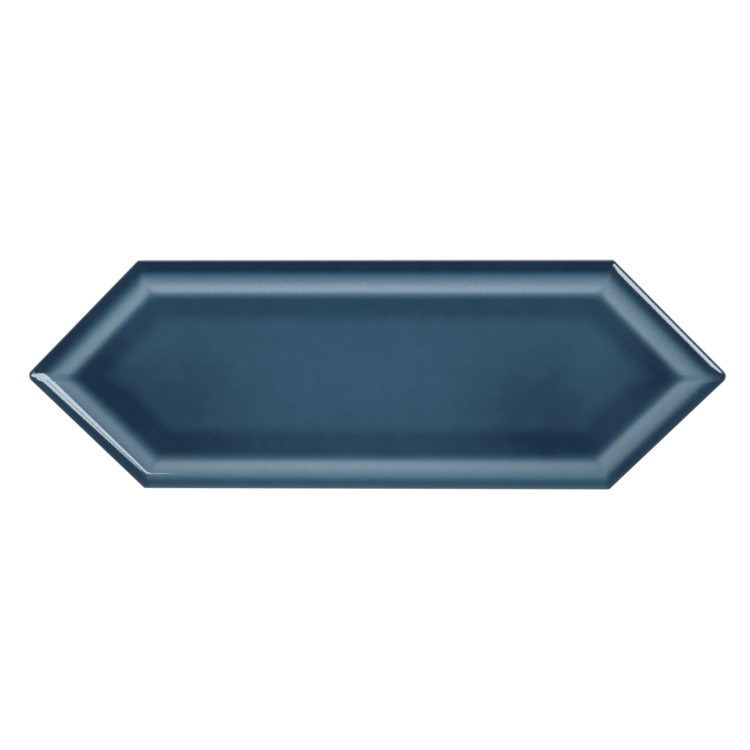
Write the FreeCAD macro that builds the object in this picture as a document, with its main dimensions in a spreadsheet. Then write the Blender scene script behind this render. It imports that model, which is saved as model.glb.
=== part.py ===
import FreeCAD, Part
import math
import os

import Sketcher

# A pressed and glazed wall tile: a long hexagon with a square point at each end.
# The face is a flat panel with a soft crease round it. Outside the crease a bowed bevel falls,
# steeper and steeper, to a rounded lip. An upright wall goes down from the lip and tapers in
# just above the back. The back has shallow lengthwise keying grooves inside a flat border.
# The origin is the middle of the back, X runs from point to point and Z points out of the face.

doc = FreeCAD.newDocument("wall_tile")

# Driving dimensions, in millimetres, degrees and pieces
driving_sizes = [
    ("tile_length", 300.0, "over the two rounded points"),
    ("tile_width", 100.0, "across the two long sides"),
    ("tile_thickness", 10.0, "from the back to the flat panel"),
    ("point_angle", 90.0, "between the two slanting sides of a point"),
    ("point_radius", 3.1, "rounding of the points, seen from above"),
    ("corner_radius", 1.2, "rounding of the four blunt corners"),
    ("wall_height", 4.3, "where wall and bevel would meet if the lip were sharp"),
    ("taper_height", 1.2, "height of the taper at the foot of the wall"),
    ("taper_inset", 0.35, "how far the taper brings the foot in"),
    ("lip_radius", 2.0, "rounding between wall and bevel"),
    ("bevel_width", 15.0, "from the widest outline to the crease"),
    ("shoulder_inset", 6.5, "how far in the bevel bows out the most"),
    ("bow_height", 0.63, "how far the bow stands above a straight bevel"),
    ("shoulder_point_radius", 3.2, "rounding of the shoulder's points"),
    ("shoulder_corner_radius", 3.5, "rounding of the shoulder's blunt corners"),
    ("crease_radius", 18.0, "soft edge between bevel and panel"),
    ("panel_point_radius", 3.0, "rounding of the panel's points"),
    ("panel_corner_radius", 6.0, "rounding of the panel's blunt corners"),
    ("back_border", 8.0, "flat band round the grooved back"),
    ("groove_count", 10, "grooves side by side across the back"),
    ("groove_width", 5.6, "one groove at its mouth"),
    ("groove_depth", 0.7, "depth of the grooves"),
    ("groove_slope", 0.3, "how far each side of a groove leans in"),
    ("groove_end_radius", 3.0, "rounding of the corners of the grooved field"),
]

# Sizes that follow from the driving ones
derived_sizes = [
    ("half_point_angle", "=point_angle / 2"),
    ("point_stretch", "=point_radius * (1 / sin(half_point_angle * 1deg) - 1)"),
    ("side_reach", "=(tile_length / 2 + point_stretch) * sin(half_point_angle * 1deg)"),
    ("wall_inset", "=0"),
    ("shoulder_height",
     "=wall_height + (tile_thickness - wall_height) * shoulder_inset / bevel_width + bow_height"),
    ("foot_point_radius", "=point_radius - taper_inset"),
    ("foot_corner_radius", "=corner_radius - taper_inset"),
    ("field_width", "=tile_width - 2 * back_border"),
    ("groove_pitch", "=(field_width - groove_width) / (groove_count - 1)"),
    ("first_groove", "=(field_width - groove_width) / 2"),
]

sheet = doc.addObject("Spreadsheet::Sheet", "sizes")
for row, (name, value, note) in enumerate(driving_sizes, start=1):
    sheet.set(f"A{row}", name)
    sheet.set(f"B{row}", str(value))
    sheet.set(f"C{row}", note)
    sheet.setAlias(f"B{row}", name)
for row, (name, formula) in enumerate(derived_sizes, start=len(driving_sizes) + 1):
    sheet.set(f"A{row}", name)
    sheet.set(f"B{row}", formula)
    sheet.setAlias(f"B{row}", name)
doc.recompute()


def size(name):
    return float(sheet.get(name))


def origin_feature(body, role):
    return next(item for item in body.Origin.OriginFeatures if item.Role == role)


def new_sketch(body, name, role):
    sketch = body.newObject("Sketcher::SketchObject", name)
    sketch.AttachmentSupport = [(origin_feature(body, role), "")]
    sketch.MapMode = "FlatFace"
    return sketch


def drive(sketch, constraint, name, expression):
    index = sketch.addConstraint(constraint)
    sketch.renameConstraint(index, name)
    sketch.setExpression(f"Constraints.{name}", expression)


# A long hexagon with rounded corners, drawn at a height, a given inset inside the widest outline.
# Its twelve edges run anticlockwise: a side or slanting line, then the arc that follows it.
def long_hexagon(body, name, inset, point_radius, corner_radius, height=None):
    sketch = new_sketch(body, name, "XY_Plane")
    if height:
        sketch.setExpression("AttachmentOffset.Base.z", f"sizes.{height}")
    lean = math.radians(size("half_point_angle"))
    half_width = size("tile_width") / 2 - size(inset)
    reach = size("side_reach") - size(inset)
    point_x = (reach - size(point_radius)) / math.sin(lean)
    corner_y = half_width - size(corner_radius)
    corner_x = (reach - size(corner_radius) - corner_y * math.cos(lean)) / math.sin(lean)
    quarter = math.pi / 2
    # Centre, radius and start and end angle of each arc
    arcs = [
        (-corner_x, corner_y, size(corner_radius), quarter, quarter + lean),
        (-point_x, 0, size(point_radius), quarter + lean, 3 * quarter - lean),
        (-corner_x, -corner_y, size(corner_radius), 3 * quarter - lean, 3 * quarter),
        (corner_x, -corner_y, size(corner_radius), 3 * quarter, 3 * quarter + lean),
        (point_x, 0, size(point_radius), 3 * quarter + lean, 5 * quarter - lean),
        (corner_x, corner_y, size(corner_radius), 5 * quarter - lean, 5 * quarter),
    ]
    curves = []
    for x, y, radius, start, end in arcs:
        circle = Part.Circle(FreeCAD.Vector(x, y, 0), FreeCAD.Vector(0, 0, 1), radius)
        curves.append(Part.ArcOfCircle(circle, start, end))
    for index, arc in enumerate(curves):
        sketch.addGeometry(Part.LineSegment(curves[index - 1].EndPoint, arc.StartPoint))
        sketch.addGeometry(arc)
    count = 2 * len(curves)
    for index in range(count):
        sketch.addConstraint(Sketcher.Constraint("Tangent", index, 2, (index + 1) % count, 1))
    top_left, left, bottom_left, bottom_right, right, top_right = range(1, count, 2)
    top, bottom_right_slant = 0, right - 1
    for corner in (bottom_left, bottom_right, top_right):
        sketch.addConstraint(Sketcher.Constraint("Equal", top_left, corner))
    sketch.addConstraint(Sketcher.Constraint("Equal", left, right))
    x_axis, y_axis = -1, -2
    for one, other, axis in (
        (top_left, top_right, y_axis),
        (top_left, bottom_left, x_axis),
        (top_right, bottom_right, x_axis),
        (left, right, y_axis),
    ):
        sketch.addConstraint(Sketcher.Constraint("Symmetric", one, 3, other, 3, axis))
    sketch.addConstraint(Sketcher.Constraint("PointOnObject", left, 3, x_axis))
    drive(sketch, Sketcher.Constraint("Radius", left, size(point_radius)),
          "point_radius", f"sizes.{point_radius}")
    drive(sketch, Sketcher.Constraint("Radius", top_left, size(corner_radius)),
          "corner_radius", f"sizes.{corner_radius}")
    drive(sketch, Sketcher.Constraint("DistanceY", -1, 1, top, 1, half_width),
          "half_width", f"sizes.tile_width / 2 - sizes.{inset}")
    drive(sketch, Sketcher.Constraint("Angle", bottom_right_slant, lean),
          "half_point_angle", "sizes.half_point_angle * 1deg")
    drive(sketch, Sketcher.Constraint("Distance", -1, 1, bottom_right_slant, reach),
          "reach", f"sizes.side_reach - sizes.{inset}")
    return sketch


def loft(body, name, outlines, ruled):
    feature = body.newObject("PartDesign::AdditiveLoft", name)
    feature.Profile = outlines[0]
    feature.Sections = outlines[1:]
    feature.Ruled = ruled
    doc.recompute()
    return feature


def pad(body, name, sketch, length, side_type="One side"):
    feature = body.newObject("PartDesign::Pad", name)
    feature.Profile = sketch
    feature.SideType = side_type
    feature.setExpression("Length", length)
    doc.recompute()
    return feature


def edges_at_height(shape, height):
    slack = 0.0001
    names = []
    for number, edge in enumerate(shape.Edges, start=1):
        lowest, highest = edge.BoundBox.ZMin, edge.BoundBox.ZMax
        if abs(lowest - height) < slack and abs(highest - height) < slack:
            names.append(f"Edge{number}")
    return names


# Rounds every edge of the body that lies level at the named height
def fillet(body, name, height, radius):
    base = body.Tip
    feature = body.newObject("PartDesign::Fillet", name)
    feature.Base = (base, edges_at_height(base.Shape, size(height)))
    feature.setExpression("Radius", f"sizes.{radius}")
    doc.recompute()
    return feature


# The pressed body of the tile, still without the grooves in its back
def make_blank():
    body = doc.addObject("PartDesign::Body", "blank")
    foot = long_hexagon(body, "foot_outline", "taper_inset", "foot_point_radius", "foot_corner_radius")
    wall = long_hexagon(body, "wall_outline", "wall_inset", "point_radius", "corner_radius",
                        "taper_height")
    lip = long_hexagon(body, "lip_outline", "wall_inset", "point_radius", "corner_radius",
                       "wall_height")
    shoulder = long_hexagon(body, "shoulder_outline", "shoulder_inset", "shoulder_point_radius",
                            "shoulder_corner_radius", "shoulder_height")
    panel = long_hexagon(body, "panel_outline", "bevel_width", "panel_point_radius",
                         "panel_corner_radius", "tile_thickness")
    loft(body, "taper", [foot, wall], True)
    pad(body, "wall", wall, "sizes.wall_height - sizes.taper_height")
    loft(body, "bevel", [lip, shoulder, panel], False)
    fillet(body, "crease", "tile_thickness", "crease_radius")
    fillet(body, "lip", "wall_height", "lip_radius")
    return body


# One bar for each groove, of the groove's section and as long as the tile
def make_groove_bars():
    body = doc.addObject("PartDesign::Body", "groove_bars")
    sketch = new_sketch(body, "groove_section", "YZ_Plane")
    mouth = size("groove_width") / 2
    floor = mouth - size("groove_slope")
    middle = -size("first_groove")
    corners = [
        FreeCAD.Vector(middle - mouth, 0, 0),
        FreeCAD.Vector(middle + mouth, 0, 0),
        FreeCAD.Vector(middle + floor, size("groove_depth"), 0),
        FreeCAD.Vector(middle - floor, size("groove_depth"), 0),
    ]
    for index, corner in enumerate(corners):
        sketch.addGeometry(Part.LineSegment(corner, corners[(index + 1) % 4]))
    for index in range(4):
        sketch.addConstraint(Sketcher.Constraint("Coincident", index, 2, (index + 1) % 4, 1))
    bottom, right, top, left = range(4)
    sketch.addConstraint(Sketcher.Constraint("PointOnObject", bottom, 1, -1))
    sketch.addConstraint(Sketcher.Constraint("PointOnObject", bottom, 2, -1))
    sketch.addConstraint(Sketcher.Constraint("Horizontal", top))
    sketch.addConstraint(Sketcher.Constraint("Equal", left, right))
    drive(sketch, Sketcher.Constraint("DistanceX", bottom, 1, bottom, 2, 2 * mouth),
          "mouth_width", "sizes.groove_width")
    drive(sketch, Sketcher.Constraint("DistanceX", top, 2, top, 1, 2 * floor),
          "floor_width", "sizes.groove_width - 2 * sizes.groove_slope")
    drive(sketch, Sketcher.Constraint("DistanceY", bottom, 1, top, 1, size("groove_depth")),
          "groove_depth", "sizes.groove_depth")
    drive(sketch, Sketcher.Constraint("DistanceX", bottom, 2, -1, 1, -middle - mouth),
          "distance_out", "sizes.first_groove - sizes.groove_width / 2")
    bar = pad(body, "groove_bar", sketch, "sizes.tile_length", "Symmetric")
    row = body.newObject("PartDesign::LinearPattern", "row_of_bars")
    row.Originals = [bar]
    row.Direction = (origin_feature(body, "Y_Axis"), [""])
    row.Mode = "Spacing"
    row.setExpression("Offset", "sizes.groove_pitch")
    row.setExpression("Occurrences", "sizes.groove_count")
    body.Tip = row
    doc.recompute()
    return body


# The part of the back that the grooves reach
def make_groove_field():
    body = doc.addObject("PartDesign::Body", "groove_field")
    outline = long_hexagon(body, "field_outline", "back_border", "groove_end_radius",
                           "groove_end_radius")
    pad(body, "field", outline, "sizes.groove_depth")
    return body


blank = make_blank()
bars = make_groove_bars()
field = make_groove_field()
grooves = doc.addObject("Part::MultiCommon", "grooves")
grooves.Shapes = [bars, field]
tile = doc.addObject("Part::Cut", "tile")
tile.Base = blank
tile.Tool = grooves
tile.Label = "tile"
tile.Placement = FreeCAD.Placement()
doc.recompute()

for item in doc.Objects:
    if "Invalid" in item.State or "Error" in item.State:
        raise RuntimeError(f"{item.Label} did not come out: {item.State}")

parts = [tile]
os.makedirs("parts", exist_ok=True)
for part in parts:
    if part.Shape.isNull() or not part.Shape.isValid():
        raise RuntimeError(f"{part.Label} has no valid shape")
for part in parts:
    part.Shape.exportStep(f"parts/{part.Label}.step")
    box = part.Shape.optimalBoundingBox(False)
    print(f"{part.Label}: {len(part.Shape.Solids)} solid, {part.Shape.Volume / 1000:.1f} cubic cm,"
          f" {box.XLength:.2f} x {box.YLength:.2f} x {box.ZLength:.2f} mm")
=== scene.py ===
import math

import bmesh
import bpy
import numpy as np
from mathutils import Matrix, Vector


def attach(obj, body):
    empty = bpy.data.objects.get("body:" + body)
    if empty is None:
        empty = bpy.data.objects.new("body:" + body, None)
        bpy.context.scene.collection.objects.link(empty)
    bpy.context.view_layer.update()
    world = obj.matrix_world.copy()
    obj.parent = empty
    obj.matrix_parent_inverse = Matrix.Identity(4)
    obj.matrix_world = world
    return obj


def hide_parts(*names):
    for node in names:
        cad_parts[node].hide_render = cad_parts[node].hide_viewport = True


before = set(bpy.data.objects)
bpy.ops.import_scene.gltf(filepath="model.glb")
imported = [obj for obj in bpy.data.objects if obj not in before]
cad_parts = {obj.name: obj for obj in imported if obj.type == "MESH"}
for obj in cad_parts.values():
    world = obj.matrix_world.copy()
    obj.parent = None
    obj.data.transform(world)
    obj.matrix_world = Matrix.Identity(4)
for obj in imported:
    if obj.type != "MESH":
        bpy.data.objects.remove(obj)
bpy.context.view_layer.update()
scene = bpy.context.scene
mm = 0.001
# Places in millimetres nearer than this count as one, and so do points of the mesh nearer than merge metres
hair = 1e-6
merge = 2e-7
print("frame loaded")

# What a user would change, in millimetres and degrees unless it says otherwise.
# sideReach is how far a slanting side lies from the middle; it ends the points 0.001 mm inside the CAD box.
# The radii and the bevel's heights go by the distance in from the outline. columns and the steps say how
# finely the mesh is divided.
tileShape = {
    "halfWidth": 50.0,
    "sideReach": 106.971,
    "pointRadii": [(0, 3.1), (6.5, 3.2), (15, 3.0), (35, 2.4), (49.4, 0.3)],
    "cornerRadii": [(0, 1.2), (6.5, 3.5), (15, 6.0), (35, 7.0), (49.4, 0.5)],
    "footInset": 0.35,
    "taperHeight": 1.2,
    "lipRadius": 2.0,
    "bevelPoints": [(0, 4.3), (6.5, 7.4), (15, 10.0)],
    "creaseRadius": 18.0,
    "thickness": 10.0,
    "panelInsets": [18.2, 19.5, 21.5, 24, 27, 30.5, 34, 38, 42, 46, 49],
    "columns": 24,
    "lipSteps": 12,
    "bevelSteps": 24,
    "creaseSteps": 16,
}
# cornerRows and pointRows are more rows of points where the field's corners and points turn, by their
# distance from the middle line
backShape = {
    "border": 8.0,
    "endRadius": 3.0,
    "grooves": 10,
    "mouth": 5.6,
    "floor": 5.0,
    "depth": 0.7,
    "cornerRows": [41.99, 41.95, 41.85, 41.7, 41.5, 41.3],
    "pointRows": [1.95, 1.75, 1.55, 1.35, 1.15, 0.95, 0.75, 0.55, 0.35, 0.17],
}
# Patterns go by their size, bumps by their height. edge gives the heights over the back between which the
# glaze begins, and the blends say how softly one side's glaze runs into the next one's.
glazeLook = {
    # thin and deep are mixed by the glaze depth map, which also carries painted shade and painted light
    "thin": "476F85",
    "deep": "1D3045",
    "roughness": 0.05,
    "ior": 1.55,
    "orangePeel": 1.6,
    "peelHeight": 0.0003,
    "sag": 18.18,
    "sagHeight": 0.004,
    "clouds": 9.0,
    "cloudNoise": (0.3, 0.7),
    "cloudDepth": 0.025,
    "grain": 0.9,
    "grainNoise": (0.25, 0.75),
    "grainLight": (0.92, 1.08),
    "edge": (1.5, 1.9),
    "edgeWaves": 3.846,
    "edgeWaveHeight": 1.2,
    "edgeRoughness": 0.6,
    "cornerBlend": 3.0,
    "mitreBlend": 3.5,
    "middleBlend": 10,
}
# How deep the glaze lies, 0 thin to 1 deep, along the lip, over the shoulder, in the crease and on the panel.
# Besides the glaze's own depth these values hold painted shade and light: dark along the lip and round the
# panel's edge, light over the bevel's shoulder, with the far and near sides toned apart.
# It breaks thin, pools and levels out between two distances in from the outline, in millimetres.
glazeDepthAndPaintedShade = {
    "farSide": {"lip": 0.95, "shoulder": 0.0, "crease": 0.8, "panel": 0.6,
                "breaks": (3.5, 7.5), "pools": (12, 16.5), "levels": (21, 27)},
    "nearSide": {"lip": 0.6, "shoulder": 0.15, "crease": 0.8, "panel": 0.6,
                 "breaks": (3, 7.5), "pools": (12.5, 18.5), "levels": (24, 31)},
    "farSlants": {"lip": 0.9, "shoulder": 0.15, "crease": 0.8, "panel": 0.55,
                  "breaks": (3.5, 8.5), "pools": (12, 17), "levels": (20, 29)},
    "nearSlants": {"lip": 0.8, "shoulder": 0.2, "crease": 0.75, "panel": 0.55,
                   "breaks": (3.5, 9), "pools": (13.5, 19), "levels": (25, 34)},
}
# Patches of painted shade round the panel's edge and at its points, with glaze run together in them, and
# below 0 a painted lighter middle: middle x and y, reach in x and y, how much
glazePoolsAndPaintedShade = [
    ((71, -10), (24, 15), 0.23),
    ((-94, -5), (26, 17), 0.19),
    ((-100, -32), (40, 25), 0.15),
    ((88, -30), (30, 12), 0.15),
    ((118, 0), (13, 13), 0.2),
    ((-121, 0), (12, 12), 0.15),
    ((0, 5), (60, 22), -0.1),
]
bisqueLook = {
    "pale": "CDBFAE",
    "rusty": "A98B72",
    "roughness": 0.85,
    "grain": 0.35,
    "grainHeight": 0.05,
    "grainNoise": (0.25, 0.75),
    "grainLight": (0.88, 1.1),
    "patches": 22.22,
    "patchNoise": (0.42, 0.78),
    "mostRust": 0.55,
}
# A colour, a glow with 1 for white, and the side of the square in metres
floorLook = {"colour": "8A8A8A", "glow": 0.82, "size": 6.0}
# The soft light all round the lens: a ring of lamps with the dark camera in the middle, one lamp for each
# side of the tile and a dim stretch at each point. Each has its direction round the tile, its brightness
# with 1 for white, how far round the ring that halves, its angle from the middle of the ring, how far in
# and how far out that halves, all angles in degrees, and the power of the inward falling off. curveTops are
# the full scales of the last four, and the horizon's two pairs are a direction's z and y.
ringLight = {
    "mirrorTilt": 10.7,
    "between": 1.2,
    "lamps": [
        (-143, 2.0, 14, 39.5, 13, 10.5, 2),
        (-97, 3.0, 15, 34.5, 12, 9, 2.3),
        (-37, 2.6, 17, 33.5, 13, 14, 2.8),
        (0, 1.2, 20, 34, 10, 8, 2),
        (42, 3.0, 15, 35.5, 9.5, 9.5, 2),
        (95, 4.4, 22, 35, 5.5, 6.5, 1.25),
        (142, 3.0, 13, 41, 9.5, 7, 2),
        (180, 1.2, 20, 39, 9, 8.5, 2),
    ],
    "curveTops": (60.0, 20.0, 20.0, 4.0),
    "softEdge": 1.5,
    "outerPower": 2.0,
    "cutOff": (46, 55),
    "horizonHeights": (0.3, 0.45),
    "horizonDepths": (-0.95, -0.6),
    "horizonNear": 0.65,
    "horizonFar": 0.08,
}
# Strip softboxes, each with rows of (azimuth, lowest elevation, highest elevation) seen from the tile.
# Their distance is in metres.
stripLook = {"colour": "F3FBFF", "distance": 1.2}
stripLamps = {
    "strip_right": {
        "rows": [(15, 22, 31.5), (25, 24, 33), (36, 24, 35), (46, 35, 40.5)],
        "strength": 12.6,
    },
    "strip_left_outer": {
        "rows": [(-134, 26.5, 27), (-141, 23, 26.5), (-153, 29, 34), (-163, 32.5, 33)],
        "strength": 10.4,
    },
    "strip_left_inner": {
        "rows": [(-105, 33, 33.5), (-116, 34, 34.5), (-124, 33, 34), (-134, 28, 30), (-141, 27, 31),
                 (-152, 34.5, 37), (-160, 34, 39.5), (-168, 31.5, 41), (-173, 20, 41), (-181, 33, 40),
                 (-190, 37, 37.5)],
        "strength": 11.2,
    },
    "strip_left_end": {
        "rows": [(-184, 31.5, 32), (-190, 30, 33), (-197, 29, 30)],
        "strength": 10.4,
    },
}
cameraLook = {
    "tilt": 10.508,
    "pan": 1.769,
    "roll": -0.265,
    "distance": 753.44,
    "aim": (-0.259, -0.157, 0),
    "lens": 83.687,
    "sensor": 36.0,
}


def linearColour(hexText):
    parts = [int(hexText[i:i + 2], 16) / 255 for i in (0, 2, 4)]
    return [p / 12.92 if p <= 0.04045 else ((p + 0.055) / 1.055) ** 2.4 for p in parts] + [1]


# Adds a node. links gives each input, by name or number, a value or another node's output.
def addNode(tree, kind, links=None, **settings):
    node = tree.nodes.new(kind)
    for name, value in settings.items():
        setattr(node, name, value)
    for name, value in (links or {}).items():
        if isinstance(value, bpy.types.NodeSocket):
            tree.links.new(value, node.inputs[name])
        else:
            node.inputs[name].default_value = value
    return node


def maths(tree, operation, *values, clamp=False):
    return addNode(tree, "ShaderNodeMath", dict(enumerate(values)), operation=operation,
                   use_clamp=clamp).outputs[0]


def smoothBetween(tree, value, low, high, lowValue=0.0, highValue=1.0):
    return addNode(tree, "ShaderNodeMapRange",
                   {0: value, 1: low, 2: high, 3: lowValue, 4: highValue},
                   interpolation_type="SMOOTHSTEP").outputs[0]


# A curve through rows of (place, height), read at value; places run from low to high, heights from 0 to top
def curveThrough(tree, value, rows, low, high, top):
    share = addNode(tree, "ShaderNodeMapRange", {0: value, 1: low, 2: high}).outputs[0]
    ramp = addNode(tree, "ShaderNodeValToRGB", {0: share})
    ramp.color_ramp.interpolation = "CARDINAL"
    stops = ramp.color_ramp.elements
    stops.remove(stops[1])
    for number, (place, height) in enumerate(rows):
        position = (place - low) / (high - low)
        stop = stops.new(position) if number else stops[0]
        stop.position = position
        stop.color = [height / top] * 3 + [1]
    return maths(tree, "MULTIPLY", ramp.outputs[0], top)


def newTree(name):
    material = bpy.data.materials.new(name)
    material.use_nodes = True
    material.node_tree.nodes.clear()
    return material, material.node_tree


# Section of the face: heights over inset for the lip arc, the bowed bevel, the crease arc and the panel.
# The bevel is the parabola h = a + b d + c d^2 through its three points. The lip arc, radius r, touches the
# wall d = 0 and the bevel at slope s, so its middle lies at d = r. The crease arc touches bevel and panel.
def faceSection(shape):
    insets, heights = np.array(shape["bevelPoints"]).T
    c, b, a = np.polyfit(insets, heights, 2)
    r, bigR = shape["lipRadius"], shape["creaseRadius"]
    lipEnd = r
    solveRounds, fineSteps = 20, 4001
    for step in range(solveRounds):
        slope = b + 2 * c * lipEnd
        lipEnd = r - r * slope / math.hypot(1, slope)
    lipTurn = math.atan(slope)
    lipMiddle = a + b * lipEnd + c * lipEnd ** 2 - r * math.cos(lipTurn)
    tries = np.linspace(insets[1], insets[2], fineSteps)
    slopes = b + 2 * c * tries
    miss = a + b * tries + c * tries ** 2 + bigR * (1 - 1 / np.hypot(1, slopes)) - shape["thickness"]
    creaseStart = tries[np.argmin(abs(miss))]
    creaseTurn = math.atan(b + 2 * c * creaseStart)
    creaseEnd = creaseStart + bigR * math.sin(creaseTurn)
    lipAngles = np.linspace(math.pi / 2, lipTurn, shape["lipSteps"])
    lip = np.stack([r - r * np.sin(lipAngles), lipMiddle + r * np.cos(lipAngles)], 1)
    along = np.linspace(lipEnd, creaseStart, shape["bevelSteps"])[1:]
    bevel = np.stack([along, a + b * along + c * along ** 2], 1)
    creaseAngles = np.linspace(creaseTurn, 0, shape["creaseSteps"])[1:]
    crease = np.stack([creaseEnd - bigR * np.sin(creaseAngles),
                       shape["thickness"] - bigR * (1 - np.cos(creaseAngles))], 1)
    panel = np.array([(d, shape["thickness"]) for d in shape["panelInsets"]])
    wall = np.array([(0, shape["taperHeight"] + (lipMiddle - shape["taperHeight"]) * t) for t in (0, 0.5)])
    return np.concatenate([wall, lip, bevel, crease, panel])


# One quarter of the long hexagon, from the middle of the top side to the point on the right.
# p(u) = a line to the blunt corner, an arc of radius rc round it, a line at 45 degrees, an arc of radius rp.
# stops holds the arrays of positions 0..1 on each of the four stretches.
def quarterOutline(inset, pointRadius, cornerRadius, stops, shape):
    half = math.sqrt(0.5)
    width, reach = shape["halfWidth"] - inset, shape["sideReach"] - inset
    pointX = (reach - pointRadius) / half
    cornerY = width - cornerRadius
    cornerX = (reach - cornerRadius) / half - cornerY
    top, corner, slant, point = stops
    cornerAngle = math.pi / 2 - corner * math.pi / 4
    pointAngle = math.pi / 4 - point * math.pi / 4
    start = np.array([cornerX, cornerY]) + cornerRadius * half
    end = np.array([pointX, 0]) + pointRadius * half
    return np.concatenate([
        np.stack([top * cornerX, np.full(len(top), width)], 1),
        np.stack([cornerX + cornerRadius * np.cos(cornerAngle),
                  cornerY + cornerRadius * np.sin(cornerAngle)], 1),
        start + slant[:, None] * (end - start),
        np.stack([pointX + pointRadius * np.cos(pointAngle), pointRadius * np.sin(pointAngle)], 1),
    ])


def wholeOutline(quarter):
    flipY, flipX = np.array([1, -1]), np.array([-1, 1])
    return np.concatenate([quarter[:-1], (quarter * flipY)[::-1][:-1], (-quarter)[:-1],
                           (quarter * flipX)[::-1][:-1]])


# Positions on the four stretches, so that the grooved field's outline has a point wherever a groove's edge
# meets it. y = cornerY + r sin(angle) on the corner arc, linear on the slant, r sin(angle) at the point.
def outlineStops(shape, back):
    inset, r, half = back["border"], back["endRadius"], math.sqrt(0.5)
    width = shape["halfWidth"] - inset
    cornerY = width - r
    pitch = (2 * width - back["mouth"]) / (back["grooves"] - 1)
    middles = width - back["mouth"] / 2 - pitch * np.arange(back["grooves"])
    edges = [middles + side * back[size] / 2 for side in (-1, 1) for size in ("mouth", "floor")]
    rows = np.concatenate(edges + [middles, back["cornerRows"], back["pointRows"]])
    rows = np.unique(np.round(rows[(rows > hair) & (rows < width - hair)], 6))[::-1]
    highest, lowest = cornerY + r * half, r * half
    corner = rows[rows > highest]
    slant = rows[(rows <= highest) & (rows >= lowest)]
    point = np.append(rows[rows < lowest], 0)
    return [
        np.linspace(0, 1, shape["columns"] + 1),
        (math.pi / 2 - np.arcsin((corner - cornerY) / r)) / (math.pi / 4),
        (highest - slant) / (highest - lowest),
        (math.pi / 4 - np.arcsin(point / r)) / (math.pi / 4),
    ], middles


# Quads between two closed loops of vertex numbers
def gridFaces(first, second):
    return np.stack([first, np.roll(first, -1), np.roll(second, -1), second], 1)


# The whole tile as one closed mesh: rings of the outline from the foot to the middle of the panel, closed
# by a strip between the last ring's two sides, and a back whose rows run along the grooves.
def makeTile(shape, back):
    stops, middles = outlineStops(shape, back)
    section = faceSection(shape)
    rings = [(back["border"], 0.0, back["endRadius"], back["endRadius"])]
    pointInsets, pointRadii = np.array(shape["pointRadii"]).T
    cornerInsets, cornerRadii = np.array(shape["cornerRadii"]).T
    foot = shape["footInset"]
    rings.append((foot, 0.0, pointRadii[0] - foot, cornerRadii[0] - foot))
    for inset, height in section:
        rings.append((inset, height, np.interp(inset, pointInsets, pointRadii),
                      np.interp(inset, cornerInsets, cornerRadii)))
    verts = []
    for inset, height, pointRadius, cornerRadius in rings:
        loop = wholeOutline(quarterOutline(inset, pointRadius, cornerRadius, stops, shape))
        verts.append(np.column_stack([loop, np.full(len(loop), height)]))
    around = len(verts[0])
    numbers = np.arange(len(rings) * around).reshape(len(rings), around)
    quads = [gridFaces(numbers[i], numbers[i + 1]) for i in range(len(rings) - 1)]
    bisqueCount = 2 * around
    quarter = around // 4
    upper = np.arange(-quarter, quarter + 1) % around
    lower = (2 * quarter - upper) % around
    last = numbers[-1]
    strip = np.stack([last[upper[:-1]], last[upper[1:]], last[lower[1:]], last[lower[:-1]]], 1)
    quads.append(strip[1:-1])
    stripEnds = [strip[0][:3].tolist(), strip[-1][[0, 1, 3]].tolist()]
    front = sum(len(q) for q in quads) - bisqueCount

    edge = quarterOutline(back["border"], back["endRadius"], back["endRadius"], stops, shape)
    edge = edge[shape["columns"]:]
    edge = np.concatenate([edge, (edge * np.array([1, -1]))[::-1][1:]])
    across = np.concatenate([-stops[0][::-1][:-1], stops[0]])
    x = edge[:, 0:1] * across[None, :]
    y = np.repeat(edge[:, 1:2], len(across), 1)
    away = np.abs(y[:, :, None] - middles).min(2)
    lean = (back["mouth"] - back["floor"]) / 2
    z = back["depth"] * np.clip((back["mouth"] / 2 - away) / lean, 0, 1)
    z[np.abs(np.abs(y) - (shape["halfWidth"] - back["border"])) < hair] = 0
    base = len(rings) * around
    rows, columns = x.shape
    grid = base + np.arange(rows * columns).reshape(rows, columns)
    verts.append(np.stack([x, y, z], 2).reshape(-1, 3))
    field = np.stack([grid[:-1, :-1], grid[:-1, 1:], grid[1:, 1:], grid[1:, :-1]], 2).reshape(-1, 4)
    right = (np.arange(rows) + shape["columns"]) % around
    left = (around - shape["columns"] - np.arange(rows)) % around
    ends = [np.stack([numbers[0][right[:-1]], grid[:-1, -1], grid[1:, -1], numbers[0][right[1:]]], 1),
            np.stack([numbers[0][left[:-1]], numbers[0][left[1:]], grid[1:, 0], grid[:-1, 0]], 1)]
    backQuads = np.concatenate([field] + ends)
    allVerts = np.concatenate(verts) * mm
    faces = np.concatenate(quads + [backQuads]).tolist() + stripEnds
    slots = np.concatenate([np.ones(bisqueCount, int), np.zeros(front, int), np.ones(len(backQuads), int),
                            np.zeros(len(stripEnds), int)])

    mesh = bpy.data.meshes.new("glazed_tile")
    mesh.from_pydata(allVerts, [], faces)
    mesh.polygons.foreach_set("material_index", slots)
    mesh.polygons.foreach_set("use_smooth", slots == 0)
    made = bmesh.new()
    made.from_mesh(mesh)
    bmesh.ops.remove_doubles(made, verts=made.verts, dist=merge)
    bmesh.ops.recalc_face_normals(made, faces=made.faces)
    openEdges = sum(not e.is_manifold for e in made.edges)
    made.to_mesh(mesh)
    made.free()
    print("tile mesh:", len(mesh.vertices), "points,", len(mesh.polygons), "faces,", openEdges, "open edges")
    piece = bpy.data.objects.new("glazed_tile", mesh)
    scene.collection.objects.link(piece)
    return piece


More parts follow.
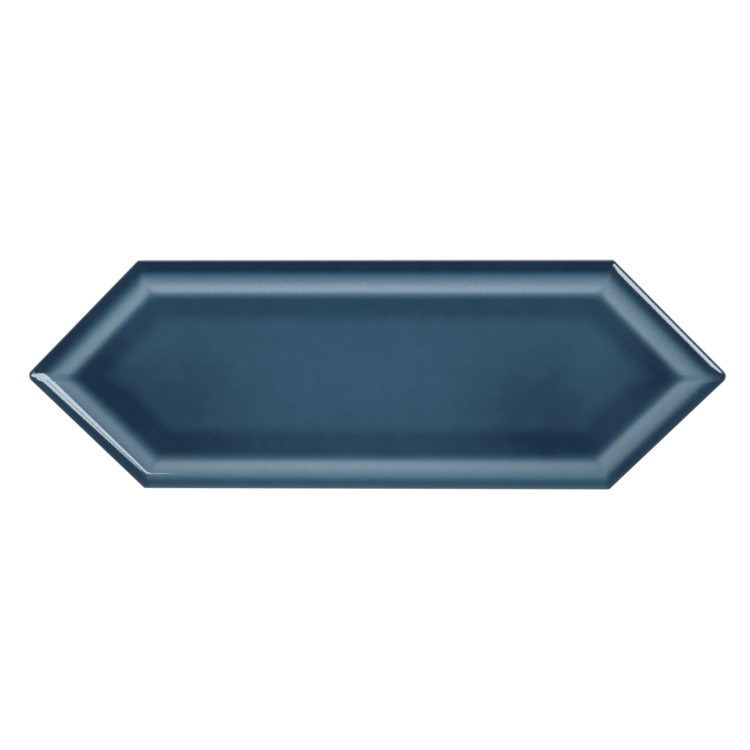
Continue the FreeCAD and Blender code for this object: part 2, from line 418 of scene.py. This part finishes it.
# Where a point of the tile lies, in millimetres: x, y, and the distances in from the long side,
# 50 - |y|, and from the slanting side, 106.971 - (|x| + |y|) / sqrt 2
def placeOnTile(tree, place, shape):
    parts = addNode(tree, "ShaderNodeSeparateXYZ", {0: place})
    x = maths(tree, "MULTIPLY", parts.outputs[0], 1000.0)
    y = maths(tree, "MULTIPLY", parts.outputs[1], 1000.0)
    z = maths(tree, "MULTIPLY", parts.outputs[2], 1000.0)
    absX, absY = maths(tree, "ABSOLUTE", x), maths(tree, "ABSOLUTE", y)
    slant = maths(tree, "MULTIPLY", maths(tree, "ADD", absX, absY), math.sqrt(0.5))
    return (x, y, z, maths(tree, "SUBTRACT", shape["halfWidth"], absY),
            maths(tree, "SUBTRACT", shape["sideReach"], slant))


# Depth of the glaze across one side, painted shade and light included: the lip's, then a smooth step each to
# the shoulder's, the crease's and the panel's
def shadeAndDepthAcross(tree, inset, side):
    total = smoothBetween(tree, inset, *side["breaks"], side["lip"], side["shoulder"])
    for change, before, after in (("pools", "shoulder", "crease"), ("levels", "crease", "panel")):
        step = smoothBetween(tree, inset, *side[change], 0.0, side[after] - side[before])
        total = maths(tree, "ADD", total, step)
    return total


# Depth of the glaze with its painted shade and light, 0 thin and light to 1 deep and dark: one pair of sides
# changes into the next at the mitres and at the middle line, and each pool of painted shade adds amount * 2 ^
# -((x - x0)^2 / rx^2 + (y - y0)^2 / ry^2)
def shadeAndDepthAt(tree, x, y, fromSide, fromSlant, look, depth, pools):
    inset = maths(tree, "SMOOTH_MIN", fromSide, fromSlant, look["cornerBlend"])
    across = {name: shadeAndDepthAcross(tree, inset, side) for name, side in depth.items()}
    far = smoothBetween(tree, y, -look["middleBlend"], look["middleBlend"])
    slanting = smoothBetween(tree, maths(tree, "SUBTRACT", fromSide, fromSlant),
                             -look["mitreBlend"], look["mitreBlend"])

    def blend(share, first, second):
        return addNode(tree, "ShaderNodeMix", {0: share, 2: first, 3: second}).outputs[0]

    total = blend(slanting, blend(far, across["nearSide"], across["farSide"]),
                  blend(far, across["nearSlants"], across["farSlants"]))
    for (middleX, middleY), (reachX, reachY), amount in pools:
        offX = maths(tree, "DIVIDE", maths(tree, "SUBTRACT", x, middleX), reachX)
        offY = maths(tree, "DIVIDE", maths(tree, "SUBTRACT", y, middleY), reachY)
        away = maths(tree, "ADD", maths(tree, "MULTIPLY", offX, offX), maths(tree, "MULTIPLY", offY, offY))
        pool = maths(tree, "MULTIPLY", maths(tree, "POWER", 0.5, away), amount)
        total = maths(tree, "ADD", total, pool)
    return total


# Transparent blue gloss glaze, flooded over the pressed tile and fired: it breaks thin over the bevel and
# lies deep along the lip and round the panel's edge, and its colour carries painted light over the bevel and
# painted shade along the lip, round the panel's edge and at its points; it clouds a little in the middle. The
# eye gets a hard wet shine with a faint orange peel.
def makeGlaze(look, shape, bisque):
    material, tree = newTree("glaze_blue_gloss_fired")
    place = addNode(tree, "ShaderNodeTexCoord").outputs["Object"]
    x, y, z, fromSide, fromSlant = placeOnTile(tree, place, shape)
    # depth mixes the glaze's own depth with painted shade and painted light
    depth = shadeAndDepthAt(tree, x, y, fromSide, fromSlant, look, glazeDepthAndPaintedShade, glazePoolsAndPaintedShade)
    clouds = addNode(tree, "ShaderNodeTexNoise",
                     {"Vector": place, "Scale": 1000 / look["clouds"], "Detail": 4, "Roughness": 0.55})
    grain = addNode(tree, "ShaderNodeTexNoise",
                    {"Vector": place, "Scale": 1000 / look["grain"], "Detail": 1})
    cloud = smoothBetween(tree, clouds.outputs[0], *look["cloudNoise"], -look["cloudDepth"],
                          look["cloudDepth"])
    clouded = maths(tree, "ADD", depth, cloud, clamp=True)
    flooded = addNode(tree, "ShaderNodeMix",
                      {0: clouded, 6: linearColour(look["thin"]), 7: linearColour(look["deep"])},
                      data_type="RGBA")
    grained = smoothBetween(tree, grain.outputs[0], *look["grainNoise"], *look["grainLight"])
    colour = addNode(tree, "ShaderNodeVectorMath", {0: flooded.outputs[2], 3: grained}, operation="SCALE")
    # The glaze stops just above the foot, in a slightly ragged line
    ragged = addNode(tree, "ShaderNodeTexNoise",
                     {"Vector": place, "Scale": 1000 / look["edgeWaves"], "Detail": 3})
    wave = maths(tree, "SUBTRACT", ragged.outputs[0], 0.5)
    height = maths(tree, "ADD", z, maths(tree, "MULTIPLY", wave, look["edgeWaveHeight"]))
    covered = smoothBetween(tree, height, *look["edge"])
    bare = addNode(tree, "ShaderNodeMix", {0: covered, 6: linearColour(bisque["pale"]), 7: colour.outputs[0]},
                   data_type="RGBA")
    rough = addNode(tree, "ShaderNodeMapRange", {0: covered, 3: look["edgeRoughness"], 4: look["roughness"]})
    peel = addNode(tree, "ShaderNodeTexNoise",
                   {"Vector": place, "Scale": 1000 / look["orangePeel"], "Detail": 1.5, "Roughness": 0.4})
    sag = addNode(tree, "ShaderNodeTexNoise", {"Vector": place, "Scale": 1000 / look["sag"], "Detail": 1})
    peelBump = addNode(tree, "ShaderNodeBump",
                       {"Height": peel.outputs[0], "Distance": look["peelHeight"] * mm, "Strength": 1.0})
    sagBump = addNode(tree, "ShaderNodeBump",
                      {"Height": sag.outputs[0], "Distance": look["sagHeight"] * mm, "Strength": 1.0,
                       "Normal": peelBump.outputs[0]})
    shader = addNode(tree, "ShaderNodeBsdfPrincipled",
                     {"Base Color": bare.outputs[2], "Roughness": rough.outputs[0], "IOR": look["ior"],
                      "Normal": sagBump.outputs[0]})
    addNode(tree, "ShaderNodeOutputMaterial", {"Surface": shader.outputs[0]})
    return material


# Bare fired clay body, dry pressed and never glazed: chalky, fine grained, a little rustier where the kiln
# rollers ran, so the eye reads the tile's make from behind. The grain is drawn about three times as coarse
# as pressed clay's, so that it shows.
def makeBisque(look):
    material, tree = newTree("bisque_pressed_bare")
    place = addNode(tree, "ShaderNodeTexCoord").outputs["Object"]
    grain = addNode(tree, "ShaderNodeTexNoise", {"Vector": place, "Scale": 1000 / look["grain"], "Detail": 3})
    patches = addNode(tree, "ShaderNodeTexNoise",
                      {"Vector": place, "Scale": 1000 / look["patches"], "Detail": 3})
    share = smoothBetween(tree, patches.outputs[0], *look["patchNoise"], 0.0, look["mostRust"])
    base = addNode(tree, "ShaderNodeMix",
                   {0: share, 6: linearColour(look["pale"]), 7: linearColour(look["rusty"])},
                   data_type="RGBA")
    speckle = smoothBetween(tree, grain.outputs[0], *look["grainNoise"], *look["grainLight"])
    colour = addNode(tree, "ShaderNodeVectorMath", {0: base.outputs[2], 3: speckle}, operation="SCALE")
    bump = addNode(tree, "ShaderNodeBump",
                   {"Height": grain.outputs[0], "Distance": look["grainHeight"] * mm, "Strength": 0.6})
    shader = addNode(tree, "ShaderNodeBsdfPrincipled",
                     {"Base Color": colour.outputs[0], "Roughness": look["roughness"],
                      "Normal": bump.outputs[0]})
    addNode(tree, "ShaderNodeOutputMaterial", {"Surface": shader.outputs[0]})
    return material


# Matt white table top, softly lit; its own faint glow keeps it white round the shadow
def makeFloor(look):
    material, tree = newTree("table_white_matt")
    ray = addNode(tree, "ShaderNodeLightPath")
    seen = maths(tree, "MAXIMUM", ray.outputs["Is Camera Ray"],
                 maths(tree, "MAXIMUM", ray.outputs["Is Glossy Ray"], ray.outputs["Is Transmission Ray"]))
    glow = addNode(tree, "ShaderNodeEmission",
                   {"Color": (1, 1, 1, 1), "Strength": maths(tree, "MULTIPLY", seen, look["glow"])})
    body = addNode(tree, "ShaderNodeBsdfDiffuse", {"Color": linearColour(look["colour"])})
    both = addNode(tree, "ShaderNodeAddShader", {0: body.outputs[0], 1: glow.outputs[0]})
    addNode(tree, "ShaderNodeOutputMaterial", {"Surface": both.outputs[0]})
    mesh = bpy.data.meshes.new("table")
    s = look["size"] / 2
    mesh.from_pydata([(-s, -s, 0), (s, -s, 0), (s, s, 0), (-s, s, 0)], [], [(0, 1, 2, 3)])
    mesh.materials.append(material)
    floor = bpy.data.objects.new("table", mesh)
    scene.collection.objects.link(floor)


# A strip softbox bent round the tile: its lower and upper edge are given as elevations at each azimuth.
# Its cloth is white nylon lit from behind, so the glaze mirrors one even, hard edged band.
def makeStripLamp(name, lamp, look):
    points = []
    for azimuth, low, high in lamp["rows"]:
        for elevation in (low, high):
            a, e = math.radians(azimuth), math.radians(elevation)
            points.append(Vector((math.cos(a) * math.cos(e), math.sin(a) * math.cos(e), math.sin(e)))
                          * look["distance"])
    faces = [(2 * i, 2 * i + 1, 2 * i + 3, 2 * i + 2) for i in range(len(lamp["rows"]) - 1)]
    mesh = bpy.data.meshes.new(name)
    mesh.from_pydata(points, [], faces)
    material, tree = newTree(name + "_cloth")
    glow = addNode(tree, "ShaderNodeEmission",
                   {"Color": linearColour(look["colour"]), "Strength": lamp["strength"]})
    addNode(tree, "ShaderNodeOutputMaterial", {"Surface": glow.outputs[0]})
    mesh.materials.append(material)
    piece = bpy.data.objects.new(name, mesh)
    scene.collection.objects.link(piece)


# Light by direction: a ring about the mirror direction of the lens, and a faint glow low down, stronger on
# the near side. radiance = peak * 0.5 ^ |(angle - ring angle) / width| ^ power, with outerPower outwards.
# peak = between + a bell for each lamp; ring angle, widths and power are read off curves from lamp to lamp.
def makeRoomLight(look):
    world = bpy.data.worlds.new("ring_light_room")
    scene.world = world
    world.use_nodes = True
    tree = world.node_tree
    tree.nodes.clear()
    direction = addNode(tree, "ShaderNodeTexCoord").outputs["Generated"]
    tilt = math.radians(look["mirrorTilt"])

    def along(axis):
        return addNode(tree, "ShaderNodeVectorMath", {0: direction, 1: axis},
                       operation="DOT_PRODUCT").outputs[1]

    cosine = along((0, -math.sin(tilt), math.cos(tilt)))
    across = along((0, math.cos(tilt), math.sin(tilt)))
    turn = maths(tree, "DEGREES", maths(tree, "ARCTAN2", across, along((1, 0, 0))))
    angle = maths(tree, "DEGREES", maths(tree, "ARCCOSINE", cosine))
    lamps = look["lamps"]
    peak = look["between"]
    for azimuth, brightness, spread in (lamp[:3] for lamp in lamps):
        away = maths(tree, "DIVIDE", maths(tree, "SUBTRACT", turn, azimuth), spread)
        bell = maths(tree, "POWER", 0.5, maths(tree, "MULTIPLY", away, away))
        peak = maths(tree, "ADD", peak, maths(tree, "MULTIPLY", bell, brightness - look["between"]))
    allRound = [(-180, *lamps[-1][1:])] + lamps
    middle, inner, outer, power = (
        curveThrough(tree, turn, [(lamp[0], lamp[column]) for lamp in allRound], -180, 180, top)
        for column, top in enumerate(look["curveTops"], 3))
    off = maths(tree, "SUBTRACT", angle, middle)
    outside = smoothBetween(tree, off, -look["softEdge"], look["softEdge"])
    width = addNode(tree, "ShaderNodeMix", {0: outside, 2: inner, 3: outer}).outputs[0]
    bend = addNode(tree, "ShaderNodeMix", {0: outside, 2: power, 3: look["outerPower"]}).outputs[0]
    spread = maths(tree, "ABSOLUTE", maths(tree, "DIVIDE", off, width))
    ring = maths(tree, "MULTIPLY", peak, maths(tree, "POWER", 0.5, maths(tree, "POWER", spread, bend)))
    ring = maths(tree, "MULTIPLY", ring, smoothBetween(tree, angle, *look["cutOff"], 1.0, 0.0))
    parts = addNode(tree, "ShaderNodeSeparateXYZ", {0: direction})
    lowGlow = smoothBetween(tree, parts.outputs[1], *look["horizonDepths"], look["horizonNear"],
                            look["horizonFar"])
    low = maths(tree, "MULTIPLY", lowGlow,
                smoothBetween(tree, parts.outputs[2], *look["horizonHeights"], 1.0, 0.0))
    total = maths(tree, "ADD", ring, low)
    back = addNode(tree, "ShaderNodeBackground", {"Color": (1, 1, 1, 1), "Strength": total})
    addNode(tree, "ShaderNodeOutputWorld", {"Surface": back.outputs[0]})


# The camera hangs over the tile, leaning a little to its far side, and is turned with rows
# right, up and back as its axes
def makeCamera(look):
    tilt, pan, roll = (math.radians(look[k]) for k in ("tilt", "pan", "roll"))
    back = Vector((math.sin(pan), math.sin(tilt) * math.cos(pan), math.cos(tilt) * math.cos(pan)))
    right = Vector((0, 1, 0)).cross(back).normalized()
    up = back.cross(right)
    turned = math.cos(roll) * right + math.sin(roll) * up
    upright = math.cos(roll) * up - math.sin(roll) * right
    data = bpy.data.cameras.new("camera")
    data.lens = look["lens"]
    data.sensor_width = look["sensor"]
    data.clip_start = 0.01
    data.clip_end = 50
    camera = bpy.data.objects.new("camera", data)
    camera.matrix_world = Matrix((turned, upright, back)).transposed().to_4x4()
    camera.location = (Vector(look["aim"]) + back * look["distance"]) * mm
    scene.collection.objects.link(camera)
    scene.camera = camera


tile = makeTile(tileShape, backShape)
tile.data.materials.append(makeGlaze(glazeLook, tileShape, bisqueLook))
tile.data.materials.append(makeBisque(bisqueLook))
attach(tile, "root")
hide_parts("tile")
print("tile glazed")

makeFloor(floorLook)
for name, lamp in stripLamps.items():
    makeStripLamp(name, lamp, stripLook)
makeRoomLight(ringLight)
makeCamera(cameraLook)
scene.view_settings.view_transform = "Standard"
print("table, lamps and camera placed")
